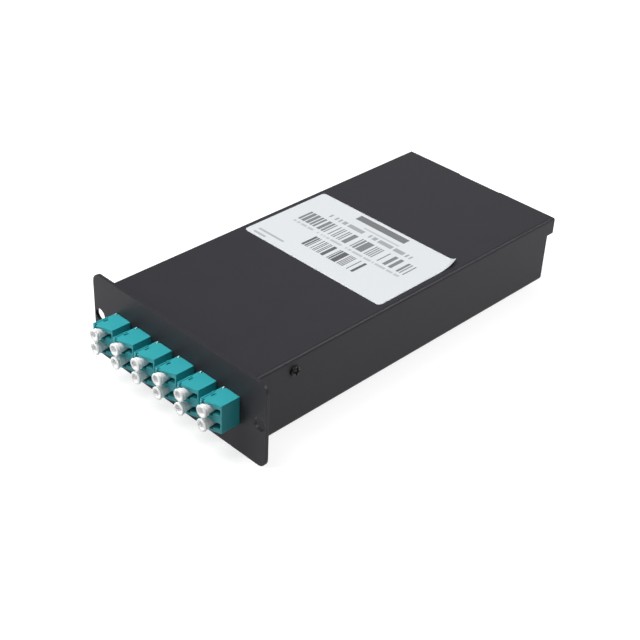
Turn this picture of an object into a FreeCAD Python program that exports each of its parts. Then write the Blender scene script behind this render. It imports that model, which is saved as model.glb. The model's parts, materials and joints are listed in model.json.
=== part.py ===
import FreeCAD, Part
import os
import re
import Sketcher

# Fibre cassette: a folded steel box behind a wide front plate, with six upright
# duplex LC adapters in front, one MPO adapter in the back wall, and the fibre
# fan-out between them inside.
# Frame: origin on the plate's rear (mounting) face, midway between the two ear
# holes.  +X runs along the plate, +Y into the box, +Z up.  Millimetres.

DIMS = [
    # front plate
    ("plate_w", "101.6", "length of the front plate"),
    ("plate_top", "19", "top edge of the front plate above the ear holes"),
    ("plate_low", "-19.4", "bottom edge of the front plate"),
    ("plate_t", "1.5", "thickness of the front plate"),
    ("plate_r", "4.2", "corner radius of the front plate"),
    ("ear_hole_dia", "5.8", "mounting hole in each ear"),
    ("ear_edge", "3.6", "mounting hole from the end of the plate"),
    ("ear_hole_x", "=plate_w / 2 - ear_edge", "mounting hole from the middle"),
    # folded box
    ("case_w", "85", "outside width of the cover"),
    ("lid_top", "16.6", "top of the cover above the ear holes"),
    ("floor_z", "-15.8", "underside of the tray"),
    ("sheet_t", "1", "sheet of tray and cover"),
    ("fold_gap", "0.1", "clearance between tray wall and cover skirt"),
    ("tray_len", "177.6", "rear face of the tray"),
    ("lid_len", "=tray_len + 2.3", "rear face of the cover skirt"),
    ("skirt_h", "8.1", "depth of the cover skirt"),
    ("lid_bend", "1.5", "outer bend radius of the cover"),
    ("tray_bend", "2", "outer bend radius of the tray"),
    ("notch_w", "24", "notch in the rear skirt over the trunk adapter"),
    ("cover_butt", "0.1", "clearance between plate and cover"),
    ("side_flange", "38", "inner edge of the side flanges of the tray"),
    ("floor_flange_h", "6.5", "height of the flange at the front of the floor"),
    ("floor_flange_half", "36", "half length of that flange"),
    ("tray_half", "=case_w / 2 - sheet_t - fold_gap", "half width of the tray"),
    ("wall_top", "=lid_top - sheet_t", "top of the tray walls"),
    ("floor_in", "=floor_z + sheet_t", "top of the tray floor"),
    # side screws
    ("screw_y", "20.3", "side screw behind the plate"),
    ("screw_z", "11.05", "side screw height"),
    ("screw_dia", "2.5", "side screw thread"),
    ("screw_len", "5.6", "side screw below the head"),
    ("screw_head", "4.5", "side screw head diameter"),
    ("screw_head_h", "1.5", "side screw head height"),
    ("screw_hole", "2.8", "clearance hole of the side screw"),
    ("nut_dia", "5", "clinch nut diameter"),
    ("nut_h", "2.2", "clinch nut height"),
    ("thread_gap", "0.06", "diameter clearance of nuts on their screws"),
    # duplex adapters
    ("pitch", "12.8", "spacing of the adapters"),
    ("ad_w", "8.8", "adapter width"),
    ("ad_h", "12.8", "adapter height"),
    ("ad_front", "12.8", "adapter reach in front of the mounting face"),
    ("ad_rear", "15.2", "adapter reach behind the mounting face"),
    ("ad_bevel_x", "7.8", "bevel of the latch side, across the adapter"),
    ("ad_bevel_y", "2.7", "bevel of the latch side, along the adapter"),
    ("ad_gap", "0.1", "clearance of the adapter in its cut-out"),
    ("ad_flange_w", "10.6", "adapter flange width"),
    ("ad_flange_h", "15.4", "adapter flange height"),
    ("ad_flange_t", "1.8", "adapter flange thickness"),
    ("axis_x", "-1.4", "fibre axis from the middle of the adapter"),
    ("axis_z", "3.125", "fibre axis above and below the middle"),
    ("port_w", "4.7", "square port"),
    ("key_w", "2.9", "depth of the latch keyway"),
    ("key_h", "2.6", "height of the latch keyway"),
    ("web_front", "0", "front face of the middle web"),
    ("web_rear", "2.4", "rear face of the middle web"),
    ("holder_dia", "2.7", "sleeve holder diameter"),
    ("holder_front", "-2.9", "front end of the sleeve holder"),
    ("holder_rear", "5.3", "rear end of the sleeve holder"),
    ("lip", "0.5", "lip that keeps the sleeve in"),
    ("lip_dia", "1.42", "bore through the lips"),
    ("sleeve_dia", "1.6", "split sleeve outside"),
    ("sleeve_bore", "1.3", "split sleeve inside"),
    ("sleeve_slit", "0.26", "slit of the split sleeve"),
    ("sleeve_gap", "0.06", "diameter clearance round the sleeve"),
    ("sleeve_end_gap", "0.1", "end clearance of the sleeve"),
    ("top_slot_l", "2.2", "slot in the top face, along the adapter"),
    ("top_slot_w", "0.8", "slot in the top face, across the adapter"),
    ("top_slot_y", "-7.5", "middle of that slot"),
    ("rail_w", "0.5", "width of the rail beside the slot"),
    ("rail_rise", "0.25", "rise of that rail"),
    ("rail_end", "-6", "rear end of that rail"),
    ("nick_x", "0.9", "nick in the front edge from the closed side"),
    ("nick_w", "0.8", "width of the nick"),
    ("nick_l", "1.2", "length of the nick along the adapter"),
    # adapter clips
    ("clip_t", "0.3", "spring strip of the clip"),
    ("clip_front", "=plate_t - 0.1", "clip reach into the cut-out of the plate"),
    ("clip_rear", "6", "clip reach behind the mounting face"),
    ("clip_arm", "1.1", "length of the clip's arms"),
    ("tongue_front", "3", "tongues of the clip, in front of the mounting face"),
    ("tongue_w", "0.35", "width of the tongues"),
    ("clip_seat", "0.04", "clearance of the clip in its recess"),
    ("barb_h", "0.5", "height of the clip's barbs"),
    ("barb_gap", "0.2", "gap between barb and plate"),
    # dust plugs of the duplex adapters
    ("plug_front", "15", "front of the plug's handle"),
    ("plug_dia", "5.4", "front ring of the handle"),
    ("plug_ring_t", "0.7", "thickness of the front ring"),
    ("plug_round", "0.3", "rounding of that ring"),
    ("plug_waist", "4.2", "waist of the handle"),
    ("plug_waist_t", "0.45", "length of the waist"),
    ("plug_back_dia", "4.9", "second ring of the handle"),
    ("plug_seat", "0.1", "gap between second ring and adapter"),
    ("plug_dish_dia", "3.4", "dish in the handle"),
    ("plug_dish", "1.3", "depth of the dish"),
    ("plug_shank", "4.1", "shank at the handle"),
    ("plug_shank_end", "3.6", "shank at its end"),
    ("plug_shank_y", "-3.6", "end of the shank"),
    ("plug_pin", "1.2", "pin in the split sleeve"),
    ("plug_pin_y", "0.8", "end of the pin"),
    # LC connectors behind the adapters
    ("lc_w", "4.4", "square housing of the connector"),
    ("lc_front", "3", "front of the housing"),
    ("lc_rear", "23", "rear of the housing"),
    ("lc_bore", "3.3", "bore round the sleeve holder"),
    ("lc_bore_end", "6.2", "end of that bore"),
    ("ferrule_dia", "1.25", "ferrule diameter"),
    ("ferrule_tip", "1.3", "tip of the ferrule"),
    ("latch_w", "1.6", "width of the latch"),
    ("latch_h", "1.3", "rise of the latch"),
    ("latch_t", "0.6", "thickness of the latch"),
    ("boot_dia", "3.4", "boot at the housing"),
    ("boot_end_dia", "2", "boot at its end"),
    ("boot_end", "34", "end of the boot"),
    # fibre fan-out
    ("fibre_dia", "0.9", "buffered fibre"),
    ("bend_start", "42", "start of the fibre bends"),
    ("bend_end", "=tray_len - 59.6", "end of the fibre bends"),
    ("lane", "1.5", "spacing of the fibres at the fan-out block"),
    ("block_front", "=tray_len - 57.6", "front of the fan-out block"),
    ("block_rear", "=tray_len - 43.6", "rear of the fan-out block"),
    ("block_w", "12", "width of the fan-out block"),
    ("block_h", "9.4", "height of the fan-out block"),
    ("cheek_t", "1.2", "cheeks of the bracket"),
    ("cheek_h", "3", "height of the cheeks beside the block"),
    ("foot_w", "22", "foot of the bracket"),
    ("foot_h", "1.5", "height of the foot"),
    ("lead_dia", "3", "round lead to the trunk connector"),
    # trunk (MPO) adapter and connector
    ("mpo_w", "12.8", "width of the trunk adapter"),
    ("mpo_h", "9.2", "height of the trunk adapter"),
    ("mpo_in", "=tray_len - 13.6", "inner end of the trunk adapter"),
    ("mpo_out", "=tray_len + 12.4", "outer end of the trunk adapter"),
    ("mpo_flange_w", "22", "flange width"),
    ("mpo_flange_t", "1.6", "flange thickness"),
    ("mpo_gap", "0.1", "clearance in the back wall"),
    ("mpo_port_w", "10.2", "port width"),
    ("mpo_port_h", "6.8", "port height"),
    ("mpo_web_in", "=tray_len - 2.4", "inner face of the middle web"),
    ("mpo_web_out", "=tray_len + 1.2", "outer face of the middle web"),
    ("ferrule_w", "6.4", "flat ferrule width"),
    ("ferrule_h", "2.5", "flat ferrule height"),
    ("window_gap", "0.15", "clearance round the flat ferrule"),
    ("nose_gap", "0.15", "clearance of noses in the trunk ports"),
    ("nose_end", "=tray_len - 3.2", "end of the connector's nose"),
    ("ferrule_end", "=tray_len - 0.7", "end of the flat ferrule"),
    ("grip_front", "=tray_len - 25.6", "front of the connector's grip"),
    ("grip_rear", "=tray_len - 14.2", "rear of the connector's grip"),
    ("grip_w", "12.2", "grip width"),
    ("grip_h", "8.4", "grip height"),
    ("tail_front", "=tray_len - 37.6", "front of the connector's boot"),
    ("tail_dia", "5.4", "boot at the grip"),
    ("tail_end_dia", "3.8", "boot at its end"),
    ("cap_nose", "=tray_len + 2.6", "inner end of the trunk dust cap"),
    ("cap_seat", "0.1", "gap between cap and adapter"),
    ("cap_head", "3", "thickness of the cap's head"),
    ("small_screw_x", "9", "flange screws from the middle"),
    ("small_screw", "2", "flange screw thread"),
    ("small_screw_len", "4.8", "flange screw below the head"),
    ("small_head", "3.6", "flange screw head diameter"),
    ("small_head_h", "1.3", "flange screw head height"),
    ("small_hole", "2.3", "clearance hole of the flange screws"),
    ("small_nut", "4", "flange nut across the flats"),
    ("small_nut_h", "1.6", "flange nut height"),
    # label
    ("label_w", "78.4", "label across the cover"),
    ("label_l", "48.3", "label along the cover"),
    ("label_y", "69.2", "front edge of the label"),
    ("label_t", "0.15", "label thickness"),
    ("label_r", "1.6", "corner radius of the label"),
    ("curl_x", "34.1", "where the curl leaves the rear edge"),
    ("curl_y", "105.1", "where the curl leaves the right edge"),
    ("curl_r", "4.2", "radius of the curl"),
    ("curl_deg", "62", "angle of the curl"),
]


def make_sheet(doc):
    sheet = doc.addObject("Spreadsheet::Sheet", "Dims")
    for row, (alias, value, note) in enumerate(DIMS, start=1):
        sheet.set("A%d" % row, note)
        sheet.set("B%d" % row, value)
        sheet.setAlias("B%d" % row, alias)
    doc.recompute()
    return sheet


def ref(text):
    """Expression on the sheet's names: plate_w / 2 becomes Dims.plate_w / 2."""
    return re.sub(r"[a-z][a-z0-9_]*", lambda m: "Dims." + m.group(0), str(text))


doc = FreeCAD.newDocument("fibre_cassette")
dims = make_sheet(doc)


def value(text):
    return float(dims.evalExpression(ref(text)))


# ---------------------------------------------------------------- sketch tools
PLANES = {"x": "YZ_Plane", "y": "XZ_Plane", "z": "XY_Plane"}
SIDE = {"x": "", "y": "-", "z": ""}


def body(name):
    made = doc.addObject("PartDesign::Body", name)
    made.Label = name
    return made


def new_sketch(owner, axis, offset):
    """Sketch across an axis, at a distance along it from the body's origin."""
    sketch = owner.newObject("Sketcher::SketchObject", "Sketch")
    role = PLANES[axis]
    plane = [f for f in owner.Origin.OriginFeatures if f.Role == role][0]
    sketch.AttachmentSupport = [(plane, "")]
    sketch.MapMode = "FlatFace"
    sketch.setExpression("AttachmentOffset.Base.z", "%s(%s)" % (SIDE[axis], ref(offset)))
    return sketch


def pin_point(sketch, geo, pos, across, up):
    for kind, text in (("DistanceX", across), ("DistanceY", up)):
        rule = Sketcher.Constraint(kind, -1, 1, geo, pos, value(text))
        index = sketch.addConstraint(rule)
        sketch.setExpression("Constraints[%d]" % index, ref(text))


def polygon(sketch, points):
    """Closed outline through points given as pairs of expressions."""
    flat = [FreeCAD.Vector(value(a), value(b), 0) for a, b in points]
    count = len(flat)
    first = sketch.GeometryCount
    for i in range(count):
        sketch.addGeometry(Part.LineSegment(flat[i], flat[(i + 1) % count]))
    for i in range(count):
        after = first + (i + 1) % count
        sketch.addConstraint(Sketcher.Constraint("Coincident", first + i, 2, after, 1))
    for i, (a, b) in enumerate(points):
        pin_point(sketch, first + i, 1, a, b)


def rectangle(sketch, left, right, low, high):
    polygon(sketch, [(left, low), (right, low), (right, high), (left, high)])


def circle(sketch, across, up, diameter):
    centre = FreeCAD.Vector(value(across), value(up), 0)
    geo = sketch.addGeometry(Part.Circle(centre, FreeCAD.Vector(0, 0, 1), value(diameter) / 2))
    pin_point(sketch, geo, 3, across, up)
    index = sketch.addConstraint(Sketcher.Constraint("Diameter", geo, value(diameter)))
    sketch.setExpression("Constraints[%d]" % index, ref(diameter))


def pad(owner, sketch, length, kind="PartDesign::Pad"):
    feature = owner.newObject(kind, kind.split("::")[1])
    feature.Profile = sketch
    feature.setExpression("Length", ref(length))
    sketch.Visibility = False
    owner.Tip = feature
    doc.recompute()
    return feature


def pad_along(owner, axis, start, end, draw):
    """Material between two stations of an axis."""
    at = end if axis == "y" else start
    sketch = new_sketch(owner, axis, at)
    draw(sketch)
    return pad(owner, sketch, "(%s) - (%s)" % (end, start))


def cut_along(owner, axis, start, end, draw):
    """Pocket between two stations of an axis."""
    at = start if axis == "y" else end
    sketch = new_sketch(owner, axis, at)
    draw(sketch)
    before = owner.Shape.Volume
    feature = pad(owner, sketch, "(%s) - (%s)" % (end, start), "PartDesign::Pocket")
    if not owner.Shape.Volume < before:
        raise RuntimeError("pocket of %s takes nothing away" % owner.Label)
    return feature


def revolve_y(owner, points, across="0", up="0"):
    """Turned piece about a line along Y: points are (radius, station)."""
    sketch = new_sketch(owner, "z", up)
    moved = [("(%s) + (%s)" % (across, r), y) for r, y in points]
    polygon(sketch, moved)
    axis = sketch.addGeometry(Part.LineSegment(FreeCAD.Vector(value(across), value(points[0][1]), 0),
                                               FreeCAD.Vector(value(across), value(points[-1][1]), 0)), True)
    pin_point(sketch, axis, 1, across, points[0][1])
    pin_point(sketch, axis, 2, across, points[-1][1])
    feature = owner.newObject("PartDesign::Revolution", "Revolution")
    feature.Profile = sketch
    feature.ReferenceAxis = (sketch, ["Axis0"])
    feature.Angle = 360
    owner.Tip = feature
    doc.recompute()
    return feature


def edges_where(shape, test):
    return ["Edge%d" % (i + 1) for i, e in enumerate(shape.Edges) if test(e)]


def along(edge, axis):
    """True for a straight edge parallel to the axis."""
    if edge.Curve.TypeId != "Part::GeomLine":
        return False
    way = edge.Curve.Direction
    return abs(getattr(way, axis)) > 0.999


def fillet(owner, test, radius):
    solid = owner.Tip
    names = edges_where(solid.Shape, test)
    feature = owner.newObject("PartDesign::Fillet", "Fillet")
    feature.Base = (solid, names)
    feature.setExpression("Radius", ref(radius))
    owner.Tip = feature
    doc.recompute()
    return feature


def repeat_x(owner, feature, length, count):
    """Linear pattern along X over the given length."""
    pattern = owner.newObject("PartDesign::LinearPattern", "LinearPattern")
    pattern.Originals = [feature]
    plane = [f for f in owner.Origin.OriginFeatures if f.Role == "X_Axis"][0]
    pattern.Direction = (plane, [""])
    pattern.setExpression("Length", ref(length))
    pattern.Occurrences = count
    owner.Tip = pattern
    doc.recompute()
    return pattern


def mirror_x(owner, features):
    """The same features again on the other side of the YZ plane."""
    mirror = owner.newObject("PartDesign::Mirrored", "Mirrored")
    mirror.Originals = features
    plane = [f for f in owner.Origin.OriginFeatures if f.Role == "YZ_Plane"][0]
    mirror.MirrorPlane = (plane, [""])
    owner.Tip = mirror
    doc.recompute()
    return mirror


def group(name, parts):
    made = doc.addObject("Part::Compound", name)
    made.Label = name
    made.Links = parts
    doc.recompute()
    return made


def mirrored_pair(name, source):
    """Two like pieces either side of the YZ plane."""
    other = doc.addObject("Part::Mirroring", name + "_left")
    other.Source = source
    other.Normal = FreeCAD.Vector(1, 0, 0)
    return group(name, [source, other])


# ------------------------------------------------------------- plate and box
def front_plate():
    made = body("front_plate")
    half = "plate_w / 2"
    pad_along(made, "y", "0 - plate_t", "0",
              lambda s: rectangle(s, "0 - " + half, half, "plate_low", "plate_top"))
    fillet(made, lambda e: along(e, "y"), "plate_r")
    hole = cut_along(made, "y", "0 - plate_t", "0",
                     lambda s: circle(s, "ear_hole_x", "0", "ear_hole_dia"))
    mirror_x(made, [hole])
    first = "0 - 2.5 * pitch"
    wide, high = "ad_w / 2 + ad_gap", "ad_h / 2 + ad_gap"
    opening = cut_along(made, "y", "0 - plate_t", "0",
                        lambda s: rectangle(s, first + " - (%s)" % wide, first + " + " + wide,
                                            "0 - (%s)" % high, high))
    repeat_x(made, opening, "5 * pitch", 6)
    return made


def tray():
    made = body("tray")
    pad_along(made, "z", "floor_z", "wall_top",
              lambda s: rectangle(s, "0 - tray_half", "tray_half", "0", "tray_len"))
    low = value("floor_z") + 0.01
    fillet(made, lambda e: e.BoundBox.ZMax < low and e.BoundBox.YMax > 0.01, "tray_bend")
    inner = "tray_half - sheet_t"
    cut_along(made, "z", "floor_in", "wall_top",
              lambda s: rectangle(s, "0 - (%s)" % inner, inner, "0", "tray_len - sheet_t"))
    seam = value("floor_in") + 0.01
    fillet(made, lambda e: abs(e.BoundBox.ZMax - seam) < 0.02 and e.BoundBox.ZLength < 0.01
           and e.BoundBox.YMax > 0.01 and abs(e.BoundBox.XMax) < value(inner) + 0.01
           and e.BoundBox.XMin > -value(inner) - 0.01, "tray_bend - sheet_t")
    flange = pad_along(made, "y", "0", "sheet_t",
                       lambda s: rectangle(s, "side_flange", "tray_half - sheet_t / 2",
                                           "floor_in + 1", "wall_top - 1"))
    mirror_x(made, [flange])
    pad_along(made, "y", "0", "sheet_t",
              lambda s: rectangle(s, "0 - floor_flange_half", "floor_flange_half",
                                  "floor_in - sheet_t / 2", "floor_z + floor_flange_h"))
    cut_along(made, "y", "tray_len - sheet_t", "tray_len",
              lambda s: rectangle(s, "0 - mpo_w / 2 - mpo_gap", "mpo_w / 2 + mpo_gap",
                                  "0 - mpo_h / 2 - mpo_gap", "mpo_h / 2 + mpo_gap"))
    hole = cut_along(made, "y", "tray_len - sheet_t", "tray_len",
                     lambda s: circle(s, "small_screw_x", "0", "small_hole"))
    side = cut_along(made, "x", "tray_half - sheet_t", "tray_half",
                     lambda s: circle(s, "screw_y", "screw_z", "screw_hole"))
    mirror_x(made, [hole, side])
    return made


def cover():
    made = body("cover")
    bottom = "lid_top - skirt_h"
    pad_along(made, "z", bottom, "lid_top",
              lambda s: rectangle(s, "0 - case_w / 2", "case_w / 2", "cover_butt", "lid_len"))
    high = value("lid_top") - 0.01
    fillet(made, lambda e: e.BoundBox.ZMin > high and e.BoundBox.YMax > 1, "lid_bend")
    inner = "case_w / 2 - sheet_t"
    cut_along(made, "z", bottom, "wall_top",
              lambda s: rectangle(s, "0 - (%s)" % inner, inner, "cover_butt", "lid_len - sheet_t"))
    cut_along(made, "z", bottom, "lid_top",
              lambda s: rectangle(s, "0 - notch_w / 2", "notch_w / 2", "lid_len - lid_bend", "lid_len + 1"))
    hole = cut_along(made, "x", inner, "case_w / 2",
                     lambda s: circle(s, "screw_y", "screw_z", "screw_hole"))
    mirror_x(made, [hole])
    return made


def cover_screws():
    made = body("cover_screw_right")
    top = "case_w / 2 + screw_head_h"
    head = "screw_head / 2"
    sketch = new_sketch(made, "z", "screw_z")
    points = [("case_w / 2 - screw_len", "screw_y"),
              ("case_w / 2 - screw_len", "screw_y + screw_dia / 2"),
              ("case_w / 2", "screw_y + screw_dia / 2"),
              ("case_w / 2", "screw_y + " + head),
              (top + " - 0.6 * screw_head_h", "screw_y + " + head),
              (top + " - 0.2 * screw_head_h", "screw_y + 0.86 * " + head),
              (top, "screw_y + 0.55 * " + head),
              (top, "screw_y")]
    polygon(sketch, points)
    turn = made.newObject("PartDesign::Revolution", "Revolution")
    turn.Profile = sketch
    turn.ReferenceAxis = (sketch, ["Edge8"])
    turn.Angle = 360
    made.Tip = turn
    doc.recompute()
    return mirrored_pair("cover_screws", made)


def clinch_nuts():
    made = body("clinch_nut_right")
    inner = "tray_half - sheet_t"
    pad_along(made, "x", inner + " - nut_h", inner,
              lambda s: circle(s, "screw_y", "screw_z", "nut_dia"))
    cut_along(made, "x", inner + " - nut_h", inner,
              lambda s: circle(s, "screw_y", "screw_z", "screw_dia + thread_gap"))
    return mirrored_pair("clinch_nuts", made)


# -------------------------------------------------------------------- label
def label():
    """Paper label on the cover, with its right rear corner curled up."""
    half, rear = "label_w / 2", "label_y + label_l"
    run = FreeCAD.Vector(value(half) - value("curl_x"), value("curl_y") - value(rear), 0)
    turn = FreeCAD.Rotation(FreeCAD.Vector(1, 0, 0), run)
    side = doc.addObject("Sketcher::SketchObject", "label_side")
    side.Placement = FreeCAD.Placement(FreeCAD.Vector(value("curl_x"), value(rear), value("lid_top")),
                                       turn.multiply(FreeCAD.Rotation(FreeCAD.Vector(1, 1, 1), 120)))
    draw_curl(side)
    plan = doc.addObject("Sketcher::SketchObject", "label_plan")
    plan.setExpression("Placement.Base.z", ref("lid_top - 1"))
    polygon(plan, [("0 - " + half, "label_y"), (half, "label_y"), (half, rear), ("0 - " + half, rear)])
    doc.recompute()
    band = extrude(side, 400, True)
    block = extrude(plan, 12, False)
    rounded = doc.addObject("Part::Fillet", "label_block")
    rounded.Base = block
    upright = [i + 1 for i, e in enumerate(block.Shape.Edges) if along(e, "z")]
    rounded.Edges = [(i, value("label_r"), value("label_r")) for i in upright]
    made = doc.addObject("Part::Common", "label")
    made.Base = band
    made.Tool = rounded
    made.Label = "label"
    doc.recompute()
    return made


def draw_curl(sketch):
    """Strip seen along the crease: flat, then an arc that lifts."""
    thick, radius = value("label_t"), value("curl_r")
    angle = FreeCAD.Units.Quantity(value("curl_deg"), FreeCAD.Units.Unit()).Value
    sweep = angle * 3.141592653589793 / 180
    up = FreeCAD.Vector(0, 0, 1)
    centre = FreeCAD.Vector(0, radius, 0)
    low = Part.ArcOfCircle(Part.Circle(centre, up, radius), -1.5707963267948966, sweep - 1.5707963267948966)
    top = Part.ArcOfCircle(Part.Circle(centre, up, radius - thick), -1.5707963267948966,
                           sweep - 1.5707963267948966)
    far = -150
    sketch.addGeometry(Part.LineSegment(FreeCAD.Vector(far, 0, 0), FreeCAD.Vector(0, 0, 0)))
    sketch.addGeometry(low)
    sketch.addGeometry(Part.LineSegment(low.EndPoint, top.EndPoint))
    sketch.addGeometry(top)
    sketch.addGeometry(Part.LineSegment(FreeCAD.Vector(0, thick, 0), FreeCAD.Vector(far, thick, 0)))
    sketch.addGeometry(Part.LineSegment(FreeCAD.Vector(far, thick, 0), FreeCAD.Vector(far, 0, 0)))


def extrude(sketch, length, both):
    made = doc.addObject("Part::Extrusion", sketch.Name + "_solid")
    made.Base = sketch
    made.DirMode = "Normal"
    made.LengthFwd = length / 2 if both else length
    made.LengthRev = length / 2 if both else 0
    made.Solid = True
    doc.recompute()
    return made


# ----------------------------------------------------------------- adapters
def port(sketch, side):
    """Square port with the keyway of its latch."""
    mid = "%s axis_z" % side
    left, right = "axis_x - port_w / 2", "axis_x + port_w / 2"
    polygon(sketch, [(left, mid + " - port_w / 2"), (right, mid + " - port_w / 2"),
                     (right, mid + " - key_h / 2"), (right + " + key_w", mid + " - key_h / 2"),
                     (right + " + key_w", mid + " + key_h / 2"), (right, mid + " + key_h / 2"),
                     (right, mid + " + port_w / 2"), (left, mid + " + port_w / 2")])


def adapter_plan(sketch):
    """Plan of the adapter, bevelled at both ends towards its latch side."""
    half = "ad_w / 2"
    corner = half + " - ad_bevel_x"
    polygon(sketch, [("0 - " + half, "0 - ad_front"), (corner, "0 - ad_front"),
                     (half, "ad_bevel_y - ad_front"), (half, "ad_rear - ad_bevel_y"),
                     (corner, "ad_rear"), ("0 - " + half, "ad_rear")])


def lc_adapter(number):
    made = body("lc_adapter_%d" % number)
    half, tall = "ad_w / 2", "ad_h / 2"
    pad_along(made, "z", "0 - " + tall, tall, adapter_plan)
    pad_along(made, "y", "0", "ad_flange_t",
              lambda s: rectangle(s, "0 - ad_flange_w / 2", "ad_flange_w / 2",
                                  "0 - ad_flange_h / 2", "ad_flange_h / 2"))
    for side in ("0 +", "0 -"):
        cut_along(made, "y", "0 - ad_front", "web_front", lambda s: port(s, side))
        cut_along(made, "y", "web_rear", "ad_rear", lambda s: port(s, side))
    clip_recess(made)
    cut_along(made, "z", tall + " - 0.5", tall,
              lambda s: rectangle(s, "0 - %s + 1.1" % half, "0 - %s + 1.1 + top_slot_w" % half,
                                  "top_slot_y - top_slot_l / 2", "top_slot_y + top_slot_l / 2"))
    pad_along(made, "z", tall, tall + " + rail_rise",
              lambda s: rectangle(s, "0 - " + half, "rail_w - " + half, "0 - ad_front", "rail_end"))
    for low, high in (("axis_z", tall), ("0 - " + tall, "0 - axis_z")):
        cut_along(made, "y", "0 - ad_front", "nick_l - ad_front",
                  lambda s: rectangle(s, "nick_x - " + half, "nick_x + nick_w - " + half, low, high))
    for side in ("0 +", "0 -"):
        up = "%s axis_z" % side
        pad_along(made, "y", "holder_front", "holder_rear", lambda s: circle(s, "axis_x", up, "holder_dia"))
        cut_along(made, "y", "holder_front", "holder_rear", lambda s: circle(s, "axis_x", up, "lip_dia"))
        cut_along(made, "y", "holder_front + lip", "holder_rear - lip",
                  lambda s: circle(s, "axis_x", up, "sleeve_dia + sleeve_gap"))
    made.setExpression("Placement.Base.x", ref("(%s) * pitch" % (number - 3.5)))
    return made


def clip_outline(sketch, grow):
    """C-shaped section of the clip round the closed side of the adapter."""
    left, tall = "0 - ad_w / 2", "ad_h / 2"
    arm = left + " + clip_arm"
    rim = "clip_t + %s" % grow
    polygon(sketch, [(left, "0 - " + tall), (arm, "0 - " + tall), (arm, "0 - %s + %s" % (tall, rim)),
                     (left + " + " + rim, "0 - %s + %s" % (tall, rim)),
                     (left + " + " + rim, "%s - (%s)" % (tall, rim)), (arm, "%s - (%s)" % (tall, rim)),
                     (arm, tall), (left, tall)])


def tongue(sketch, side, grow):
    """Section of the tongue in front of one arm of the clip."""
    tip = "clip_arm - ad_w / 2"
    root = "%s (ad_h / 2 - clip_t - %s)" % (side, grow)
    rectangle(sketch, tip + " - tongue_w - %s" % grow, tip, root, "%s ad_h / 2" % side)


def clip_recess(owner):
    cut_along(owner, "y", "0 - clip_front - clip_seat", "clip_rear + clip_seat",
              lambda s: clip_outline(s, "clip_seat"))
    for side in ("0 +", "0 -"):
        cut_along(owner, "y", "0 - tongue_front - clip_seat", "0 - clip_front - clip_seat",
                  lambda s: tongue(s, side, "clip_seat"))


def adapter_clip(number):
    made = body("adapter_clip_%d" % number)
    pad_along(made, "y", "0 - clip_front", "clip_rear", lambda s: clip_outline(s, "0"))
    stop = "0 - plate_t - barb_gap"
    for side in ("0 +", "0 -"):
        pad_along(made, "y", "0 - tongue_front", "0 - clip_front", lambda s: tongue(s, side, "0"))
        sketch = new_sketch(made, "x", "clip_arm - ad_w / 2 - tongue_w")
        root = "%s (ad_h / 2 - clip_t / 2)" % side
        tip = "%s (ad_h / 2 + barb_h)" % side
        polygon(sketch, [("0 - tongue_front", root), (stop, root), (stop, tip), (stop + " - 0.3", tip)])
        pad(made, sketch, "tongue_w")
    made.setExpression("Placement.Base.x", ref("(%s) * pitch" % (number - 3.5)))
    return made


def split_sleeves(number):
    """Two ceramic sleeves, slit along the top, one to each fibre axis."""
    sketch = doc.addObject("Sketcher::SketchObject", "sleeve_section")
    start = "holder_rear - lip - sleeve_end_gap"
    middle = "(%s) * pitch + axis_x" % (number - 3.5)
    sketch.Placement = FreeCAD.Placement(FreeCAD.Vector(0, 0, 0), FreeCAD.Rotation(FreeCAD.Vector(1, 0, 0), 90))
    sketch.setExpression("Placement.Base.y", ref(start))
    sketch.setExpression("Placement.Base.x", ref(middle))
    for side in ("0 +", "0 -"):
        slit_ring(sketch, "%s axis_z" % side)
    made = doc.addObject("Part::Extrusion", "split_sleeves_%d" % number)
    made.Base = sketch
    made.DirMode = "Normal"
    made.setExpression("LengthFwd", ref("(%s) - (holder_front + lip + sleeve_end_gap)" % start))
    made.Solid = True
    made.Label = "split_sleeves_%d" % number
    doc.recompute()
    return made


def slit_ring(sketch, up):
    outer, inner = value("sleeve_dia") / 2, value("sleeve_bore") / 2
    half = value("sleeve_slit") / 2
    centre = FreeCAD.Vector(0, value(up), 0)
    first = sketch.GeometryCount
    for radius in (outer, inner):
        lean = 1.5707963267948966 - half / radius
        ring = Part.Circle(centre, FreeCAD.Vector(0, 0, 1), radius)
        sketch.addGeometry(Part.ArcOfCircle(ring, 3.141592653589793 - lean, 6.283185307179586 + lean))
    for pos in (1, 2):
        ends = [sketch.getPoint(first, pos), sketch.getPoint(first + 1, pos)]
        line = sketch.addGeometry(Part.LineSegment(ends[0], ends[1]))
        sketch.addConstraint(Sketcher.Constraint("Coincident", line, 1, first, pos))
        sketch.addConstraint(Sketcher.Constraint("Coincident", line, 2, first + 1, pos))
        sketch.addConstraint(Sketcher.Constraint("Vertical", line))
    sketch.addConstraint(Sketcher.Constraint("Coincident", first, 3, first + 1, 3))
    pin_point(sketch, first, 3, "0", up)
    for geo, text in ((first, "sleeve_dia / 2"), (first + 1, "sleeve_bore / 2")):
        index = sketch.addConstraint(Sketcher.Constraint("Radius", geo, value(text)))
        sketch.setExpression("Constraints[%d]" % index, ref(text))
    index = sketch.addConstraint(Sketcher.Constraint("DistanceX", -1, 1, first, 2, half))
    sketch.setExpression("Constraints[%d]" % index, ref("sleeve_slit / 2"))
    index = sketch.addConstraint(Sketcher.Constraint("DistanceX", first, 1, -1, 1, half))
    sketch.setExpression("Constraints[%d]" % index, ref("sleeve_slit / 2"))


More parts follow.
